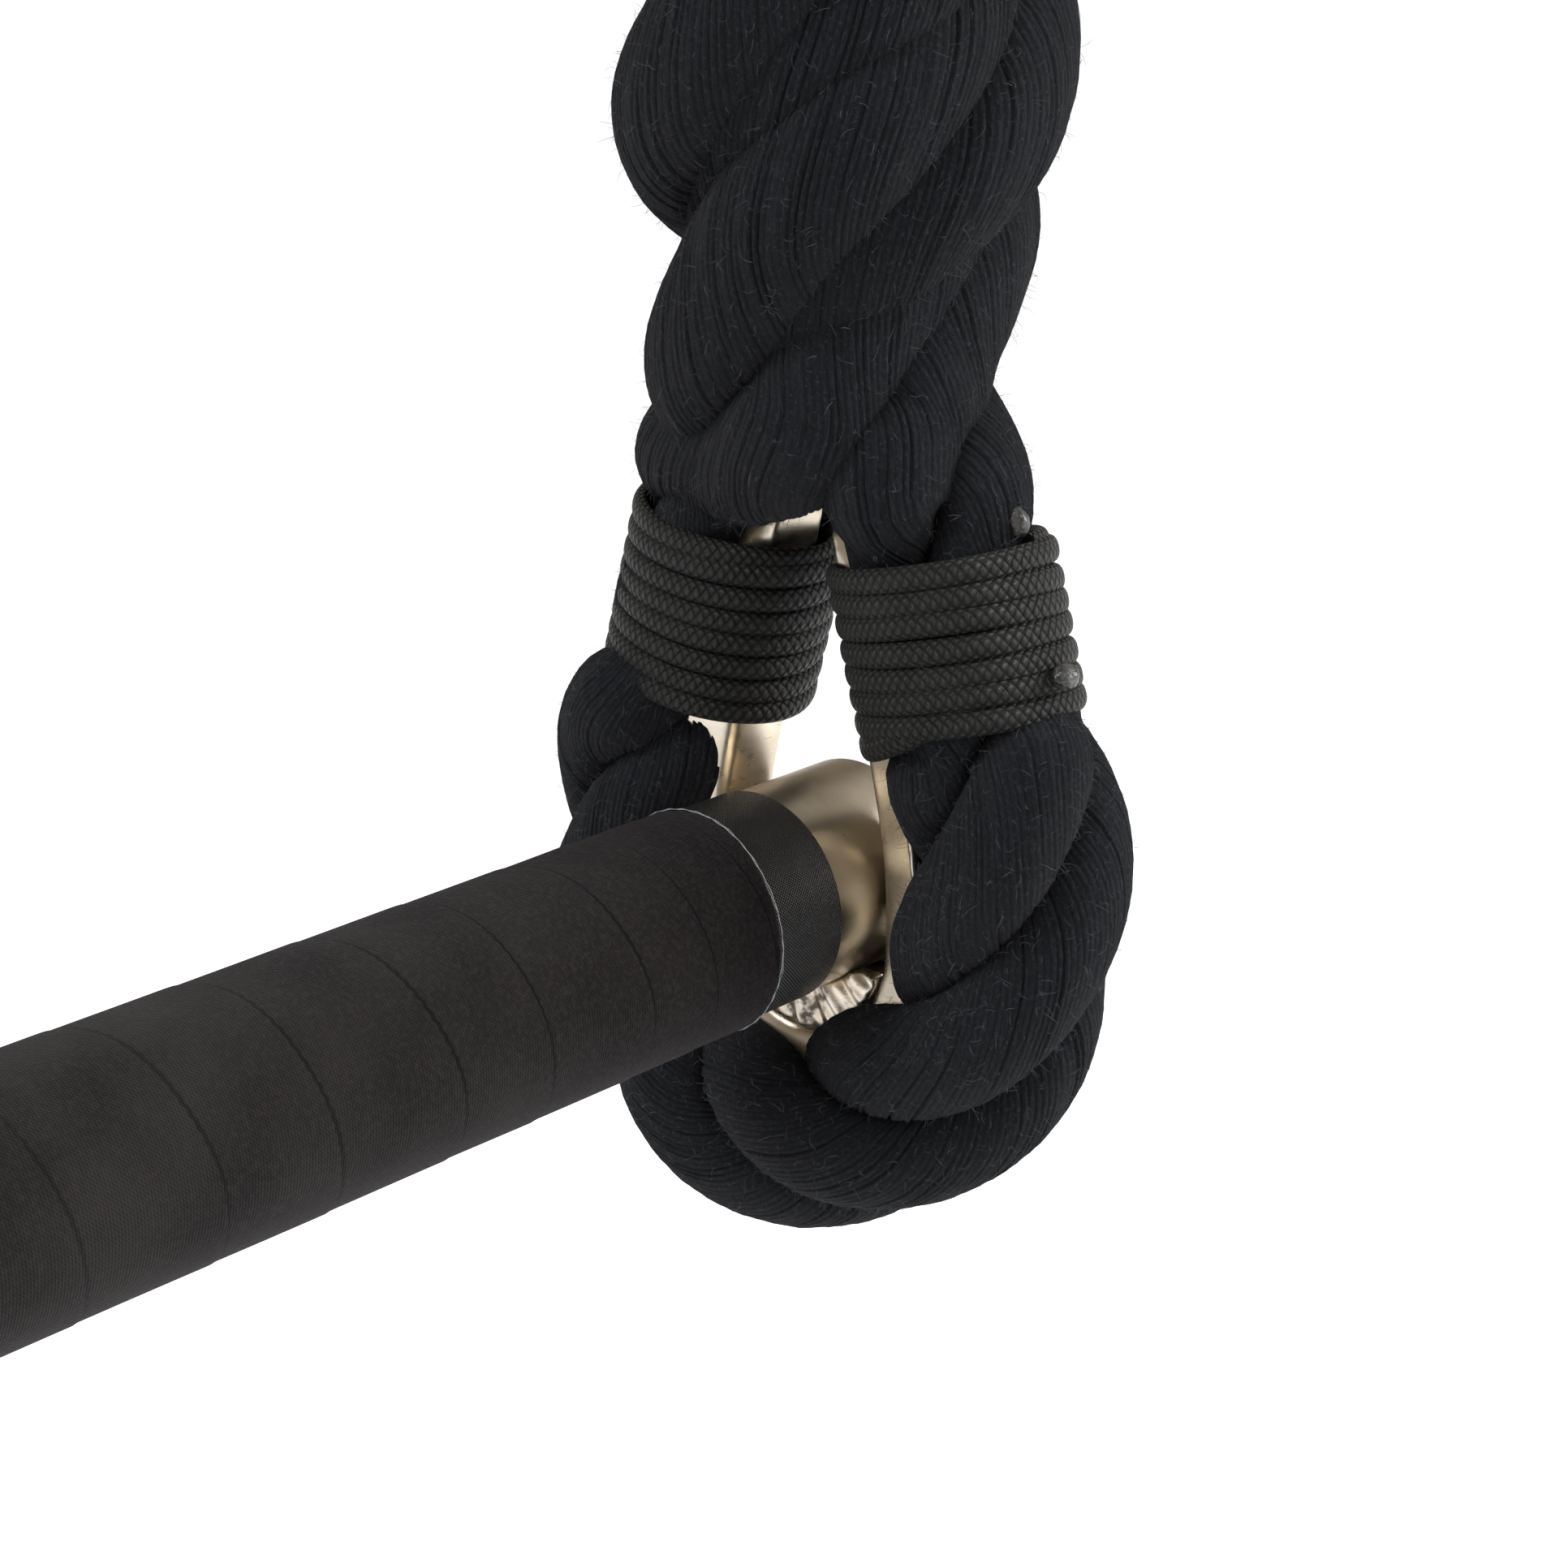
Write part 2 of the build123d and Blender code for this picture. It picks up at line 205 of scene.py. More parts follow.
# ---------------------------------------------------------------------------
# Rope.  30 mm black cotton rope, three strands laid right-handed, bent round the
# thimble.  Above it the strands of both legs are twisted together for the splice.
# ---------------------------------------------------------------------------
ROPE_ROUTE = [
    (-16.6, 0, 60),
    (-17.2, 0, 52),
    (-19.0, 0.2, 42),
    (-25.6, -1.3, 22),
    (-32.0, -1.3, 5),
    (-32.0, -2, -19),
    (-16.0, -3.7, -37.2),
    (7.4, -3.7, -35.6),
    (28.4, -1.2, -19),
    (32.4, 0.9, 5),
    (29.6, 0.9, 21),
    (20.8, 0.6, 42),
    (17.8, 0, 52),
    (17.2, 0, 60),
]
STRANDS = 3
TURNS_IN_EYE = 8 / 3          # turns of lay between the two entries to the splice
ENTRY_Z = 50.0
CUT_Z = 37.0                  # the eye's strands and the splice meet under the whippings
SPLICE_MID = 94.0
SPLICE_LAY = 88.0
STRAND_CENTRE = 7.6
STRAND_HALF = (7.3, 6.7)      # half depth and half breadth of a strand
SPLICE_HALF = (8.4, 8.1)
STRAND_ANGLES = (0, 30, 60, 82, 105, 135, 180)       # round a strand, from its outer side
STRAND_SHAPE = (1.0, 1.03, 1.12, 1.15, 1.06, 0.92, 0.98)   # pressed together, a strand is not round
YARNS = 46
YARN_POINTS = 3
YARN_DEPTH = 0.09
YARN_TWIST = 62.0             # length in which a strand's yarns turn once
RING_STEP = 1.5
SPLICE_HEIGHTS = (50, 58, 66, 76, 88, 96, 104, 114, 126, 138)
SPLICE_RADII = (15.4, 14.6, 12.7, 11.6, 14.2, 17.7, 18.3, 16.8, 15.6, 15.4)
STEEP_SIDE = 311              # degrees; on this side the strands climb more steeply
PAIR_FACE = 240               # on this side the upper strand of each pair rides over the lower one
PAIR_RIDE = 2.8               # the upper strand stands this far out, and the lower one in
STEEPER = 0.22                # radians that the lay is shifted by to climb so
LEAN_TO = (0.74, 0.67)        # the splice leans slightly this way
LEG_LINE_X = (22.3, 17.6)     # middle of a leg at CUT_Z and at LEG_TOP_Z
LEG_TOP_Z = 52
WHIP_LOWEST = {-1: 23.5, 1: 25.5}
random.seed(7)


def spline_points(name, controls, steps=24):
    """Points along a smooth NURBS route, in millimetres."""
    curve = bpy.data.curves.new(name, "CURVE")
    curve.dimensions = "3D"
    curve.resolution_u = steps
    spline = curve.splines.new("NURBS")
    spline.points.add(len(controls) - 1)
    for point, place in zip(spline.points, controls):
        point.co = (*[c * MM for c in place], 1)
    spline.order_u = 3
    spline.use_endpoint_u = True
    route = bpy.data.objects.new(name, curve)
    bpy.context.scene.collection.objects.link(route)
    bpy.context.view_layer.update()
    line = bpy.data.meshes.new_from_object(route)
    points = np.array([v.co for v in line.vertices]) / MM
    bpy.data.objects.remove(route)
    bpy.data.meshes.remove(line)
    return points


def even(points, step):
    """The same line with evenly spaced points, and the distance along it."""
    gaps = np.linalg.norm(np.diff(points, axis=0), axis=1)
    along = np.concatenate([[0], np.cumsum(gaps)])
    count = max(4, round(along[-1] / step) + 1)
    marks = np.linspace(0, along[-1], count)
    return np.stack([np.interp(marks, along, points[:, i]) for i in range(3)], 1), marks


def unit(vectors):
    return vectors / np.linalg.norm(vectors, axis=-1, keepdims=True)


def smooth_step(values):
    values = np.clip(values, 0, 1)
    return values * values * (3 - 2 * values)


def grid_piece(name, rings, lengths, material):
    """A capped mesh tube from rings of points; its UVs are turns round and millimetres along."""
    count, around = rings.shape[:2]
    spans = count - 1
    row = np.arange(spans)[:, None]
    column = np.arange(around)[None]
    next_row = row + 1
    next_column = (column + 1) % around
    quads = np.stack(
        [
            row * around + column,
            row * around + next_column,
            next_row * around + next_column,
            next_row * around + column,
        ],
        -1,
    ).reshape(-1, 4)
    faces = [tuple(q) for q in quads.tolist()]
    faces.append(tuple(range(around - 1, -1, -1)))
    faces.append(tuple(range((count - 1) * around, count * around)))
    mesh = bpy.data.meshes.new(name)
    mesh.from_pydata((rings.reshape(-1, 3) * MM).tolist(), [], faces)
    uv = mesh.uv_layers.new(name="UVMap")
    u = np.stack([column / around, (column + 1) / around, (column + 1) / around, column / around], -1)
    u = np.broadcast_to(u, (spans, around, 4))
    marks = np.asarray(lengths, float)
    if marks.ndim == 1:
        marks = np.repeat(marks[:, None], around + 1, 1)
    low, high = marks[:-1], marks[1:]
    v = np.stack([low[:, :-1], low[:, 1:], high[:, 1:], high[:, :-1]], -1)
    flat = np.zeros((len(mesh.loops), 2), np.float32)
    flat[: quads.size] = np.stack([u, v], -1).reshape(-1, 2)
    uv.data.foreach_set("uv", flat.ravel())
    mesh.polygons.foreach_set("use_smooth", [len(f) == 4 for f in faces])
    mesh.materials.append(material)
    mesh.validate()
    piece = bpy.data.objects.new(name, mesh)
    bpy.context.scene.collection.objects.link(piece)
    return piece


def joined(name, pieces):
    """Several meshes made one piece."""
    bpy.ops.object.select_all(action="DESELECT")
    for piece in pieces:
        piece.select_set(True)
    bpy.context.view_layer.objects.active = pieces[0]
    bpy.ops.object.join()
    pieces[0].name = name
    return pieces[0]


eye_line, eye_marks = even(spline_points("rope_route", ROPE_ROUTE), 0.5)
lowest = int(np.argmin(eye_line[:, 2]))
left_mark = float(np.interp(-ENTRY_Z, -eye_line[:lowest, 2], eye_marks[:lowest]))
right_mark = float(np.interp(ENTRY_Z, eye_line[lowest:, 2], eye_marks[lowest:]))
EYE_LAY = (right_mark - left_mark) / TURNS_IN_EYE


def tightness(x, z):
    """How far the lashing squeezes the rope at each height: 1 free, less under the cord."""
    lowest = np.where(x < 0, WHIP_LOWEST[-1], WHIP_LOWEST[1])
    below = smooth_step((z - lowest + 4.5) / 5.5)
    above = 1 - smooth_step((z - 49) / 9)
    return 1 - 0.19 * below * above


LAY_MARKS = (0, 20, 38, 75, 110, 150, 185, 211)     # along the eye from the left entry
LAY_SHIFT = (0, 0, -8.0, 2.5, 4.6, 4.0, 0, 0)       # the lay is worked along by this much there


def strand_in_eye(index):
    """The rope's line, one strand's centre line, and how far the strand is squeezed."""
    inside = (eye_marks > left_mark - 30) & (eye_marks < right_mark + 30)
    line = eye_line[inside]
    along = unit(np.gradient(line, axis=0))
    across = np.cross(np.array([0.0, 1.0, 0.0]), along)
    marks = eye_marks[inside] - left_mark
    shift = np.interp(marks, LAY_MARKS, LAY_SHIFT)
    shift = np.convolve(np.pad(shift, 20, mode="edge"), np.ones(41) / 41, mode="valid")
    angle = 2 * math.pi * ((marks - shift) / EYE_LAY + index / STRANDS)
    depth = np.array([0.0, 1.0, 0.0])
    outward = np.cos(angle)[:, None] * across + np.sin(angle)[:, None] * depth
    squeeze = tightness(line[:, 0], line[:, 2])
    centre = line + outward * (STRAND_CENTRE * squeeze)[:, None]
    return line, centre, squeeze


def leg_strand(side, index, heights):
    """Where a strand would run if the leg went straight on upwards as a plain rope."""
    line, centre, squeeze = strand_in_eye(index)
    half = line[:, 0] * side > 0
    line, centre = line[half], centre[half]
    order = np.argsort(line[:, 2])
    line, centre = line[order], centre[order]
    return np.stack([np.interp(heights, line[:, 2], centre[:, i]) for i in range(3)], 1)


def strand_tube(name, centre, middle, half, start, material):
    """A strand of parallel yarns: an oval tube whose ribs turn slowly along it."""
    points, marks = even(centre, RING_STEP)
    source = np.linspace(0, 1, len(centre))
    gaps = np.linalg.norm(np.diff(centre, axis=0), axis=1)
    along = np.concatenate([[0], np.cumsum(gaps)])
    share = np.interp(marks, along, source)
    hub = np.stack([np.interp(share, source, middle[:, i]) for i in range(3)], 1)
    sizes = np.stack([np.interp(share, source, half[:, i]) for i in range(2)], 1)
    tangent = unit(np.gradient(points, axis=0))
    out = points - hub
    out = unit(out - (out * tangent).sum(1, keepdims=True) * tangent)
    side = np.cross(tangent, out)
    carried = out[0]
    turn = np.zeros(len(points))
    for i in range(len(points)):
        carried = carried - tangent[i] * carried.dot(tangent[i])
        carried /= np.linalg.norm(carried)
        turn[i] = math.atan2(carried.dot(side[i]), carried.dot(out[i]))
    turn = np.unwrap(turn)
    around = YARNS * YARN_POINTS
    yarn_angle = np.arange(around) / around * 2 * math.pi
    angle = yarn_angle[None] + (turn - 2 * math.pi * (marks + start) / YARN_TWIST)[:, None]
    waver = np.zeros((len(points), YARNS))
    groove = np.zeros((len(points), YARNS))
    for yarn in range(YARNS):
        strength = random.random() ** 2.4
        for wave in (9.0, 17.0, 31.0):
            phase = random.random() * 2 * math.pi
            waver[:, yarn] += 0.045 * np.sin(2 * math.pi * marks / wave + phase)
        come_and_go = 0.5 + 0.5 * np.sin(2 * math.pi * marks / 41 + random.random() * 6.3)
        groove[:, yarn] = YARN_DEPTH + 0.75 * strength * come_and_go
    deep = -np.repeat(waver, YARN_POINTS, axis=1)
    deep[:, ::YARN_POINTS] += groove
    turned = np.degrees(np.abs((angle + math.pi) % (2 * math.pi) - math.pi))
    shape = np.interp(turned, STRAND_ANGLES, STRAND_SHAPE)
    radial = (sizes[:, :1] * shape - deep) * np.cos(angle)
    broad = (sizes[:, 1:] * shape - deep) * np.sin(angle)
    rings = points[:, None] + radial[..., None] * out[:, None] + broad[..., None] * side[:, None]
    return grid_piece(name, rings, marks + start, material)


def rope_cotton():
    """Matt blue-black cotton: twisted fibres in each yarn, with painted light on the yarn crests and on
    fine raised fibres.
    """
    finish = Finish("rope_cotton", (0.012, 0.013, 0.017), 0.95)
    u, v, _ = finish.parts(finish.own_uv())
    yarn = finish.math("MULTIPLY", u, float(YARNS))
    number = finish.math("FLOOR", yarn)
    within = finish.math("FRACT", yarn)
    slant = finish.math("ADD", finish.math("MULTIPLY", v, 0.9), finish.math("MULTIPLY", within, 2.4))
    fibre_place = finish.join(finish.math("MULTIPLY", within, 3.0), slant, number)
    fibre = finish.noise(fibre_place, 1.7, 5.0, 0.75)
    shade = finish.noise(finish.join(number, finish.math("MULTIPLY", v, 0.02)), 1.7, 2.0)
    crest = finish.math("SINE", finish.math("MULTIPLY", within, math.pi))
    patch = finish.noise(finish.object_place(), 90.0, 3.0)
    # Painted light: lighter fibres on the crest of each yarn, with darker grooves between the yarns.
    painted_crest_light = finish.math("MULTIPLY", finish.ramp(fibre, 0.48, 0.72, 0.0, 1.0), crest)
    fine = finish.noise(finish.object_place(), 1900.0, 4.0, 0.75)
    base = finish.blend(shade, (0.0018, 0.0021, 0.0034), (0.0046, 0.0052, 0.0074))
    base = finish.blend(finish.math("MULTIPLY", painted_crest_light, 0.85), base, (0.026, 0.028, 0.035))
    # Painted light: small bright flecks where the fine fibres stand highest.
    base = finish.blend(finish.ramp(fine, 0.56, 0.72, 0.0, 0.7), base, (0.040, 0.043, 0.050))
    base = finish.blend(finish.ramp(patch, 0.4, 0.75, 0.0, 0.25), base, (0.009, 0.010, 0.013))
    bump = finish.relief(fibre, 0.00055, 1.0)
    bump = finish.relief(fine, 0.00025, 0.9, bump)
    finish.shader.inputs["Sheen Weight"].default_value = 0.035
    finish.shader.inputs["Sheen Roughness"].default_value = 0.55
    finish.shader.inputs["Specular IOR Level"].default_value = 0.08
    return finish.use(Base_Color=base, Normal=bump)


rope_material = rope_cotton()


def lower_to_upper(piece_points):
    """The strop's upper end is its lower end turned half round about an axis across it."""
    return piece_points * np.array([1, -1, -1]) + np.array([0, 0, 2 * SPLICE_MID])


def eye_strands(name, upper):
    """The three strands round one thimble, cut off under the lashings."""
    tubes = []
    for index in range(STRANDS):
        line, centre, squeeze = strand_in_eye(index)
        keep = line[:, 2] < CUT_Z
        line, centre, squeeze = line[keep], centre[keep], squeeze[keep]
        half = np.array(STRAND_HALF)[None] * squeeze[:, None]
        if upper:
            line, centre = lower_to_upper(line), lower_to_upper(centre)
        tubes.append(strand_tube(f"{name}_{index}", centre, line, half, index * 37.0, rope_material))
    return joined(name, tubes)


def splice_strands(name):
    """Six strands, from the legs' rope lay below and above into one twisted ring."""
    tubes = []
    heights = np.arange(CUT_Z - 1.0, 2 * SPLICE_MID - CUT_Z + 1.0, 0.5)
    for slot_number in range(2 * STRANDS):
        azimuth = slot_number * 60
        side = 1 if azimuth in (0, 60, 300) else -1
        low_index = {0: 0, 60: 1, 300: 2, 180: 0, 120: 1, 240: 2}[azimuth]
        high_index = {0: 0, 60: 2, 300: 1, 180: 0, 120: 2, 240: 1}[azimuth]
        turns = (heights - ENTRY_Z) / SPLICE_LAY
        member = 1 if slot_number % 2 else -1
        pair = 2 * math.pi * (turns + (azimuth - 30 * member) / 360)
        pair = pair - STEEPER * np.sin(pair - math.radians(STEEP_SIDE))
        free = smooth_step((heights - 52) / 14) * smooth_step((2 * SPLICE_MID - 52 - heights) / 14)
        lean = np.cos(pair - math.radians(PAIR_FACE)) * free
        theta = pair + member * math.radians(30) * (1 - 0.45 * lean**2)
        radius = np.interp(heights, SPLICE_HEIGHTS, SPLICE_RADII)
        radius = np.convolve(np.pad(radius, 12, mode="edge"), np.ones(25) / 25, mode="valid")
        radius = radius - member * lean * PAIR_RIDE
        drift = 2.05 * smooth_step((heights - 66) / 22) * smooth_step((136 - heights) / 24)
        drift = drift + 2.2 * np.exp(-((heights - 62) / 7) ** 2) + 1.1 * np.exp(-((heights - 96) / 7) ** 2)
        ring_x = radius * np.cos(theta) + LEAN_TO[0] * drift
        ring_y = radius * np.sin(theta) + LEAN_TO[1] * drift
        ring = np.stack([ring_x, ring_y, heights], 1)
        right_phase = round(TURNS_IN_EYE * STRANDS) % STRANDS
        lower_id = low_index if side < 0 else (low_index - right_phase) % STRANDS
        upper_id = high_index if side < 0 else (high_index - right_phase) % STRANDS
        low_leg = leg_strand(side, lower_id, heights)
        low_leg[:, 2] = heights
        high_leg = lower_to_upper(leg_strand(side, upper_id, 2 * SPLICE_MID - heights))
        high_leg[:, 2] = heights
        into = smooth_step((heights - 51) / 13)[:, None]
        out_of = smooth_step((2 * SPLICE_MID - heights - 51) / 13)[:, None]
        lower_half = (heights < SPLICE_MID)[:, None]
        from_low = low_leg + (ring - low_leg) * into
        from_high = high_leg + (ring - high_leg) * out_of
        centre = np.where(lower_half, from_low, from_high)
        mix = np.where(lower_half, into, out_of)
        low_x = np.interp(heights, (CUT_Z, LEG_TOP_Z), LEG_LINE_X)
        high_x = np.interp(2 * SPLICE_MID - heights, (CUT_Z, LEG_TOP_Z), LEG_LINE_X)
        leg_x = np.where(heights > SPLICE_MID, high_x, low_x)
        hub = np.stack([side * leg_x * (1 - mix[:, 0]), 0 * heights, heights], 1)
        near_end = np.minimum(heights, 2 * SPLICE_MID - heights)
        squeeze = tightness(np.full(len(heights), side), near_end)
        swell = 1 - 0.08 * member * lean[:, None]
        leg_half = np.array(STRAND_HALF)[None] * squeeze[:, None] * (1 - mix)
        half = leg_half + np.array(SPLICE_HALF)[None] * mix * swell
        start = slot_number * 53.0
        tubes.append(strand_tube(f"{name}_{slot_number}", centre, hub, half, start, rope_material))
    return joined(name, tubes)


lower_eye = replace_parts(eye_strands("lower_eye_strands", False), "lower_rope_eye")
upper_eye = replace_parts(eye_strands("upper_eye_strands", True), "upper_rope_eye")
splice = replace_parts(splice_strands("splice_strands"), "rope_splice")
for rope_piece in (lower_eye, upper_eye, splice):
    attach(rope_piece, "eye")


# ---------------------------------------------------------------------------
# Loose fibres.  Short curled cotton hairs that stand off the rope's surface.
# ---------------------------------------------------------------------------
HAIRS = 9000
HAIR_RADIUS = 0.027
HAIR_LENGTHS = (0.6, 2.6)
hair_finish = Finish("loose_cotton", (0.03, 0.033, 0.04), 0.9)
hair_tone = hair_finish.noise(hair_finish.object_place(), 400.0, 2.0)
hair_material = hair_finish.use(
    Base_Color=hair_finish.blend(hair_tone, (0.008, 0.009, 0.011), (0.075, 0.080, 0.090))
)


def hairs_on(name, owner, count):
    """Tiny three-sided curved fibres growing from random points of a piece."""
    mesh = owner.data
    total = len(mesh.vertices)
    places = np.zeros(total * 3, np.float32)
    normals = np.zeros(total * 3, np.float32)
    mesh.vertices.foreach_get("co", places)
    mesh.vertex_normals.foreach_get("vector", normals)
    places, normals = places.reshape(-1, 3) / MM, normals.reshape(-1, 3)
    random_numbers = np.random.default_rng(11)
    picked = random_numbers.integers(0, total, count)
    root, normal = places[picked], unit(normals[picked])
    lean_to = unit(random_numbers.normal(size=(count, 3)))
    first = unit(normal * 0.75 + lean_to * 0.8)
    second = unit(0.7 * lean_to + unit(random_numbers.normal(size=(count, 3))) - normal * 0.15)
    length = random_numbers.uniform(*HAIR_LENGTHS, count)[:, None]
    stations = [root - normal * 0.1, root + first * length * 0.4]
    stations.append(stations[1] + unit(first + second) * length * 0.35)
    stations.append(stations[2] + second * length * 0.3)
    side = unit(np.cross(first, second) + 1e-4)
    other = unit(np.cross(first, side))
    corners = []
    for station, size in zip(stations, (1.0, 0.9, 0.75, 0.35)):
        for corner in range(3):
            angle = corner * 2 * math.pi / 3
            away = side * math.cos(angle) + other * math.sin(angle)
            corners.append(station + away * HAIR_RADIUS * size)
    vertices = np.stack(corners, 1).reshape(-1, 3)
    pattern = [(2, 1, 0), (9, 10, 11)]
    for level in range(3):
        for corner in range(3):
            a, b = level * 3 + corner, level * 3 + (corner + 1) % 3
            pattern += [(a, b, b + 3), (a, b + 3, a + 3)]
    faces = (np.arange(count)[:, None, None] * 12 + np.array(pattern)[None]).reshape(-1, 3)
    fuzz = bpy.data.meshes.new(name)
    fuzz.from_pydata((vertices * MM).tolist(), [], faces.tolist())
    fuzz.materials.append(hair_material)
    piece = bpy.data.objects.new(name, fuzz)
    bpy.context.scene.collection.objects.link(piece)
    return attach(piece, "eye")


hairs_on("lower_eye_hairs", lower_eye, HAIRS)
hairs_on("splice_hairs", splice, HAIRS)
hairs_on("upper_eye_hairs", upper_eye, HAIRS)


# ---------------------------------------------------------------------------
# Whippings.  Four lashings of 3 mm black braided nylon cord, eight flattened turns
# each, drawn tight round a rope leg and the thimble leg beside it.
# ---------------------------------------------------------------------------
LEG_SLOPE = 0.277
LEG_LINE = 30.6 + 4.7 * LEG_SLOPE      # rope leg's distance from the middle, carried down to z = 0
CORD_WIDTH = 3.42
CORD_THICK = 2.1
LASHING_HALF = (14.35, 12.75)          # centre line of the cord round the leg
LASHING_SHIFT = -1.3
# Side, heights of the lowest and highest turn, level turns, starting angle in degrees,
# turns at the end of the cord, and how far the whole lashing is set over.
LASHING = {
    "left": (-1, 23.5, 48.5, 8, 35, 7.9, (1.5, 1.0, -1.0)),
    "right": (1, 25.5, 50.0, 8, -138, 7.6, (1.3, 0.6, -1.3)),
}


def leg_point(side, height, x, y, z):
    """A point given in a rope leg's own frame, whose x points away from the eye."""
    size = math.hypot(1, LEG_SLOPE)
    outward = np.array([side, 0, LEG_SLOPE]) / size
    upward = np.array([-side * LEG_SLOPE, 0, 1]) / size
    across = np.array([0, side, 0])
    origin = np.array([side * (LEG_LINE - height * LEG_SLOPE), 0, height])
    return (
        origin
        + np.multiply.outer(x, outward)
        + np.multiply.outer(y, across)
        + np.multiply.outer(z, upward)
    )


def lashing_cord(name, lashing, material, upper):
    """One length of flattened braided cord wound up a rope leg."""
    side, low, high, turns, start, last, set_over = lashing
    length = (high - low) * math.hypot(1, LEG_SLOPE)
    pitch = (length - CORD_WIDTH) / (turns - 1)
    count = int(turns * 86 / 0.42)
    turn = np.linspace(-0.42, last, count)
    angle = math.radians(start) - side * 2 * math.pi * turn
    climb = CORD_WIDTH / 2 + pitch * np.clip(turn, 0, turns - 1)
    tuck = smooth_step(-turn / 0.42)
    top_tuck = smooth_step((turn - turns + 1) / 0.5)
    climb = climb + 7.4 * tuck**0.9 - 0.3 * top_tuck
    waver = 0.22 * np.sin(angle * 1.0 + turn * 1.9) + 0.12 * np.sin(angle * 2.3 + 1.0)
    climb = climb + waver * (1 - tuck)
    if side < 0:
        climb = climb - 1.7 * np.cos(angle) * turn / turns
    inward = 1.0 * tuck + 0.9 * top_tuck
    half_x, half_y = LASHING_HALF[0] - inward, LASHING_HALF[1] - inward
    web_side = np.clip(-np.cos(angle), 0, 1) ** 6
    x = LASHING_SHIFT + half_x * np.cos(angle) - 0.3 * web_side
    centre = leg_point(side, low, x, half_y * np.sin(angle), climb) + np.array(set_over)
    tangent = unit(np.gradient(centre, axis=0))
    upward = leg_point(side, low, 0, 0, 1) - leg_point(side, low, 0, 0, 0)
    breadth = unit(upward - (tangent @ upward)[:, None] * tangent)
    outward = np.cross(breadth, tangent)
    hub = leg_point(side, low, LASHING_SHIFT + 0 * x, 0 * x, climb)
    outward *= np.sign((outward * (centre - hub)).sum(1))[:, None]
    along = np.concatenate([[0], np.cumsum(np.linalg.norm(np.diff(centre, axis=0), axis=1))])
    ring = np.linspace(0, 2 * math.pi, 24, endpoint=False)
    wide = np.sign(np.cos(ring)) * np.abs(np.cos(ring)) ** 0.85 * CORD_WIDTH / 2
    thick = np.sin(ring) * CORD_THICK / 2
    rings = centre[:, None] + breadth[:, None] * wide[None, :, None]
    rings = rings + outward[:, None] * thick[None, :, None]
    flow = np.cross(breadth[0], outward[0]).dot(tangent[0])
    if flow < 0:
        rings = rings[:, ::-1]
    if upper:
        rings = lower_to_upper(rings)
    return grid_piece(name, rings, along, material)


def braided_nylon():
    """Charcoal nylon braid: crossing picks raised over each other, with painted shade in the hollows
    between them and small glints.
    """
    finish = Finish("braided_nylon", (0.03, 0.03, 0.03), 0.5)
    u, v, _ = finish.parts(finish.own_uv())
    around = finish.math("MULTIPLY", u, 6.0)
    along = finish.math("DIVIDE", v, 1.3)
    first = finish.math("ADD", around, along)
    second = finish.math("SUBTRACT", around, along)
    first_in, second_in = finish.math("FRACT", first), finish.math("FRACT", second)
    cells = finish.math("ADD", finish.math("FLOOR", first), finish.math("FLOOR", second))
    over = finish.math("GREATER_THAN", finish.math("MODULO", finish.math("ABSOLUTE", cells), 2.0), 0.5)
    under = finish.math("SUBTRACT", 1.0, over)
    first_arch = finish.math("SINE", finish.math("MULTIPLY", first_in, math.pi))
    second_arch = finish.math("SINE", finish.math("MULTIPLY", second_in, math.pi))

    def raised(ridge, end):
        taper = finish.math("MULTIPLY_ADD", end, 0.5, 0.5)
        return finish.math("MULTIPLY", finish.math("POWER", ridge, 0.5), taper)

    def top_one(first_value, second_value):
        shown = finish.math("MULTIPLY", first_value, over)
        return finish.math("ADD", shown, finish.math("MULTIPLY", second_value, under))

    pick = top_one(raised(first_arch, second_arch), raised(second_arch, first_arch))
    strands = finish.math("SINE", finish.math("MULTIPLY", top_one(first, second), 30.0))
    worn = finish.noise(finish.object_place(), 220.0, 3.0)
    # Painted shade: the colour follows the picks' height, near black in the hollows between them and
    # lighter on the raised picks.
    painted_hollow_shade, ridge = (0.0002, 0.0002, 0.0002), (0.0090, 0.0092, 0.0084)
    base = finish.blend(finish.ramp(pick, 0.45, 0.95, 0.0, 1.0), painted_hollow_shade, ridge)
    base = finish.blend(finish.ramp(worn, 0.4, 0.7, 0.0, 0.35), base, (0.012, 0.0118, 0.0108))
    bump = finish.relief(finish.math("MULTIPLY_ADD", strands, 0.05, pick), 0.00055, 1.0)
    finish.shader.inputs["Specular IOR Level"].default_value = 0.2
    return finish.use(Base_Color=base, Normal=bump, Roughness=finish.ramp(pick, 0.2, 1.0, 0.7, 0.40))


nylon_material = braided_nylon()
for end, upper in (("lower", False), ("upper", True)):
    for label, lashing in LASHING.items():
        node = f"{end}_whipping_{label}"
        cord = lashing_cord(f"{node}_cord", lashing, nylon_material, upper)
        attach(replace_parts(cord, node), "eye")


# ---------------------------------------------------------------------------
# Melted cord ends.  Where each lashing starts and stops the nylon has been run
# together with a flame into a small glossy grey bead.
# ---------------------------------------------------------------------------
def melted_nylon():
    """Dark grey lumpy plastic with a slight gloss."""
    finish = Finish("melted_nylon", (0.06, 0.06, 0.055), 0.35)
    place = finish.object_place()
    lumps = finish.noise(place, 900.0, 4.0)
    dark, light = (0.005, 0.005, 0.005), (0.045, 0.044, 0.041)
    base = finish.blend(finish.ramp(lumps, 0.35, 0.7, 0, 1), dark, light)
    return finish.use(Base_Color=base, Normal=finish.relief(lumps, 0.0005, 0.8))


melted_material = melted_nylon()


